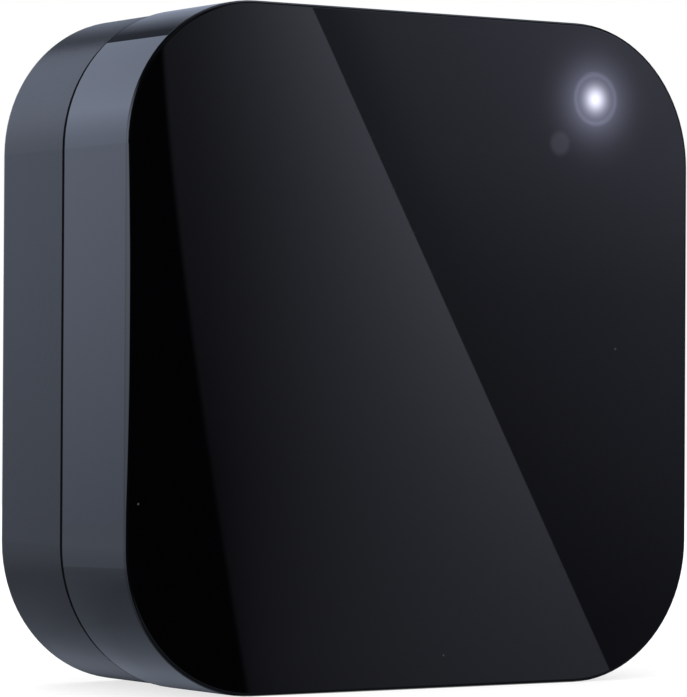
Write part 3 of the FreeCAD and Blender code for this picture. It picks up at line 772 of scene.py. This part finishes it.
def back_card():
    """The large soft light behind the part. It is darker to the right of the part."""
    middle_x = -340.0
    middle_z = 300.0
    squeeze = 0.7
    material, tree, place = lit_card_material("back_softbox")
    axes = axes_of(tree, place)
    from_middle_x = calc(tree, "MULTIPLY_ADD", axes["X"], squeeze, -squeeze * middle_x)
    from_middle = add(tree, "CombineXYZ", {"X": from_middle_x, "Z": axes["Z"]})
    distance = vector_calc(tree, "DISTANCE", from_middle, (0.0, 0.0, middle_z))
    bright = ramp(tree, distance, start=0.0, end=353.0, low=1.8, high=0.6)
    low_down = ramp(tree, axes["Z"], start=0.0, end=80.0, low=0.9, high=1.0)
    toned = calc(tree, "MULTIPLY", bright, low_down)
    dark = ramp(tree, axes["X"], start=100.0, end=235.0, low=0.09, high=0.42)
    past_side = calc(tree, "GREATER_THAN", axes["X"], side_x)
    give_light(tree, back_tint, mix(tree, past_side, toned, dark))
    corners = upright(-side_wall_x, side_wall_x, low_floor_z, ceiling_z, back_card_y)
    reflection_card("back_softbox", corners, material)


def level_by_turn(tree, turn):
    """How the left light and the table brighten by direction, on the way round to the front."""
    return ramp(tree, turn, start=math.radians(-50.0), end=math.radians(10.0), low=1.0, high=2.0)


def table_strength(tree, sideways, y, radius):
    """The table top, paler beside the part and towards its rim, and after a step the floor beyond."""
    even = ramp(tree, radius, start=80.0, end=table_radius, low=0.33, high=0.44)
    close = ramp(tree, radius, start=37.0, end=50.0, low=0.13, high=0.0)
    near = calc(tree, "ADD", even, close)
    # The cover's lower round mirrors the stretch ahead of a slanted line, and the housing's the one behind it
    line_start_x = 34.0
    line_y = calc(tree, "ADD", sideways, -line_start_x)
    behind_line = calc(tree, "SUBTRACT", y, line_y)
    lift = ramp(tree, behind_line, start=-6.0, end=18.0, low=0.87, high=1.33)
    inner = ramp(tree, radius, start=100.0, end=72.0)
    lifted = calc(tree, "MULTIPLY", near, mix(tree, inner, 1.0, lift))
    far = ramp(tree, radius, start=table_radius, end=300.0, low=0.56, high=0.7)
    past_rim = calc(tree, "GREATER_THAN", radius, table_radius)
    return mix(tree, past_rim, lifted, far)


def floor_card():
    """What the part's lower rounds mirror: a round table top on the floor.

    It is dark along the middle, under the part's flat bottom and behind it, as a painted shadow of the part.
    By direction from the part's front edge, turned from the side towards the front, it brightens as the left
    light does, and then it ends in front of the part.
    """
    material, tree, place = lit_card_material("table_top")
    axes = axes_of(tree, place)
    sideways = calc(tree, "ABSOLUTE", axes["X"])
    radius = vector_calc(tree, "LENGTH", place)
    table = table_strength(tree, sideways, axes["Y"], radius)
    # Painted shadow: the card dims along the strip under the part's flat bottom
    outside_painted_shadow = soft_ramp(tree, sideways, start=29.5, end=38.0, low=0.1, high=1.0)
    outward = calc(tree, "ADD", sideways, -side_x)
    forward = calc(tree, "MULTIPLY_ADD", axes["Y"], -1.0, front_y)
    turn = calc(tree, "ARCTAN2", forward, outward)
    inside = soft_ramp(tree, turn, start=math.radians(45.0), end=math.radians(15.0), low=0.03, high=1.0)
    by_direction = calc(tree, "MULTIPLY", level_by_turn(tree, turn), inside)
    lit = calc(tree, "MULTIPLY", table, outside_painted_shadow)
    give_light(tree, table_tint, calc(tree, "MULTIPLY", lit, by_direction))
    front_edge = front_y / MM_PER_M
    beside_part_x = -0.055
    table_top = level(-side_wall_x, side_wall_x, front_edge, back_card_y, table_z)
    reflection_card("table_top", table_top, material)
    table_left = level(-side_wall_x, beside_part_x, front_wall_y, front_edge, table_z)
    reflection_card("table_left", table_left, material)


def height_shown(tree, height, reach):
    """The height on the part's front left edge at which a point shows to the camera.

    It follows by similar triangles from the point's own height and its reach from the edge.
    """
    sight = (camera_place.to_2d() * MM_PER_M - Vector((-side_x, front_y))).length
    lifted = calc(tree, "MULTIPLY", reach, camera_place.z * MM_PER_M)
    weighted = calc(tree, "MULTIPLY_ADD", height, sight, lifted)
    whole = calc(tree, "ADD", reach, sight)
    return calc(tree, "DIVIDE", weighted, whole)


def inside_left_light(tree, shown_z, turn):
    """A mask of the left light's outline: a round head, and a straight limit above and below it."""
    off_middle = calc(tree, "ADD", shown_z, -head_z)
    square = calc(tree, "MULTIPLY", off_middle, off_middle)
    head = calc(tree, "MULTIPLY_ADD", square, -head_drop / head_half_height ** 2, head_turn)
    limit = calc(tree, "MAXIMUM", head, least_turn)
    past_limit = calc(tree, "SUBTRACT", turn, limit)
    return soft_ramp(tree, past_limit, start=math.radians(12.0), end=math.radians(-16.0))


def left_softbox():
    """A large round-headed light on the left, which reaches in front of the part at its middle height.

    It is laid out as the part's front left edge mirrors it to the camera: by direction, turned from -X
    towards -Y, and by the height on the edge at which it shows.
    """
    material, tree, place = lit_card_material("left_softbox")
    offset = axes_of(tree, vector_calc(tree, "ADD", place, (side_x, -front_y, 0.0)))
    leftward = calc(tree, "MULTIPLY", offset["X"], -1.0)
    forward = calc(tree, "MULTIPLY", offset["Y"], -1.0)
    turn = calc(tree, "ARCTAN2", forward, leftward)
    flat = add(tree, "CombineXYZ", {"X": leftward, "Y": forward})
    reach = vector_calc(tree, "LENGTH", flat)
    shown_z = height_shown(tree, offset["Z"], reach)
    inside = inside_left_light(tree, shown_z, turn)
    by_height = ramp(tree, shown_z, start=0.0, end=100.0, low=0.4, high=1.5)
    low_enough = soft_ramp(tree, offset["Z"], start=150.0, end=640.0, low=1.0, high=0.03)
    lowered = calc(tree, "MULTIPLY", by_height, low_enough)
    lit = calc(tree, "MULTIPLY", level_by_turn(tree, turn), lowered)
    give_light(tree, left_tint, mix(tree, inside, left_unlit_strength, lit))
    reflection_card("left_wall", sideways_wall(-side_wall_x), material)
    corners = upright(low_x=-side_wall_x, high_x=0.22, low_z=low_floor_z, high_z=0.26, y=left_card_y)
    reflection_card("left_front_card", corners, material)


def soft_wall(name, corners, middle, reach, edge_strength, middle_strength):
    """A dark wall of the studio, with a soft lit patch round a point given in millimetres."""
    material, tree, place = lit_card_material(name)
    distance = vector_calc(tree, "DISTANCE", place, middle)
    give_light(tree, wall_tint, soft_ramp(tree, distance, 0.0, reach, middle_strength, edge_strength))
    reflection_card(name, corners, material)


def dark_walls():
    """Dark walls all round, so that the rounded edges between the lit faces stay dark."""
    soft_wall(
        "right_wall", sideways_wall(side_wall_x),
        middle=(side_wall_x * MM_PER_M, 0.0, 180.0), reach=420.0, edge_strength=0.05, middle_strength=0.45,
    )
    soft_wall(
        "ceiling", level(-side_wall_x, side_wall_x, front_wall_y, back_card_y, ceiling_z),
        middle=(350.0, 0.0, ceiling_z * MM_PER_M), reach=600.0, edge_strength=0.06, middle_strength=1.1,
    )
    soft_wall(
        "front_wall", upright(-side_wall_x, side_wall_x, low_floor_z, ceiling_z, front_wall_y),
        middle=(0.0, front_wall_y * MM_PER_M, 600.0), reach=300.0, edge_strength=0.02, middle_strength=0.3,
    )
    soft_wall(
        "low_floor", level(-side_wall_x, side_wall_x, front_wall_y, front_y / MM_PER_M, low_floor_z),
        middle=(0.0, front_wall_y * MM_PER_M, low_floor_z * MM_PER_M),
        reach=420.0, edge_strength=0.12, middle_strength=0.4,
    )


def soft_lamp(name, place, size, share):
    """A square soft lamp aimed at the part, which adds a share of the plain light level there."""
    aim = Vector(place) - lamp_target
    data = bpy.data.lights.new(name, "AREA")
    data.size = size
    data.energy = share * math.pi ** 2 * aim.length_squared
    lamp = bpy.data.objects.new(name, data)
    lamp.location = place
    lamp.rotation_euler = aim.to_track_quat("Z", "Y").to_euler()
    lamp.visible_glossy = False
    bpy.context.scene.collection.objects.link(lamp)


def camera_at_the_photo():
    """The camera at the photograph's viewing angle."""
    turned = (
        Matrix.Rotation(camera_turn, 4, "Z")
        @ Matrix.Rotation(math.pi / 2 - camera_tilt, 4, "X")
        @ Matrix.Rotation(camera_roll, 4, "Z")
    )
    place = camera_target + turned.to_3x3() @ Vector((0.0, 0.0, camera_distance))
    data = bpy.data.cameras.new("camera")
    data.sensor_width = sensor_size
    data.lens = focal_length_px * sensor_size / image_height_px
    data.clip_start = 0.01
    data.clip_end = 20.0
    camera = bpy.data.objects.new("camera", data)
    camera.matrix_world = Matrix.Translation(place) @ turned
    bpy.context.scene.collection.objects.link(camera)
    bpy.context.scene.camera = camera
    return place


camera_place = camera_at_the_photo()
white_surroundings()
pale_floor()
front_cards()
back_card()
floor_card()
left_softbox()
dark_walls()
soft_lamp("overhead_lamp", place=(-0.1, -0.1, 0.75), size=0.6, share=0.3)
soft_lamp("front_lamp", place=(-0.45, -0.55, 0.3), size=0.5, share=0.35)
soft_lamp("back_lamp", place=(0.45, 0.6, 0.35), size=0.5, share=0.35)
bpy.context.scene.view_settings.view_transform = "Standard"
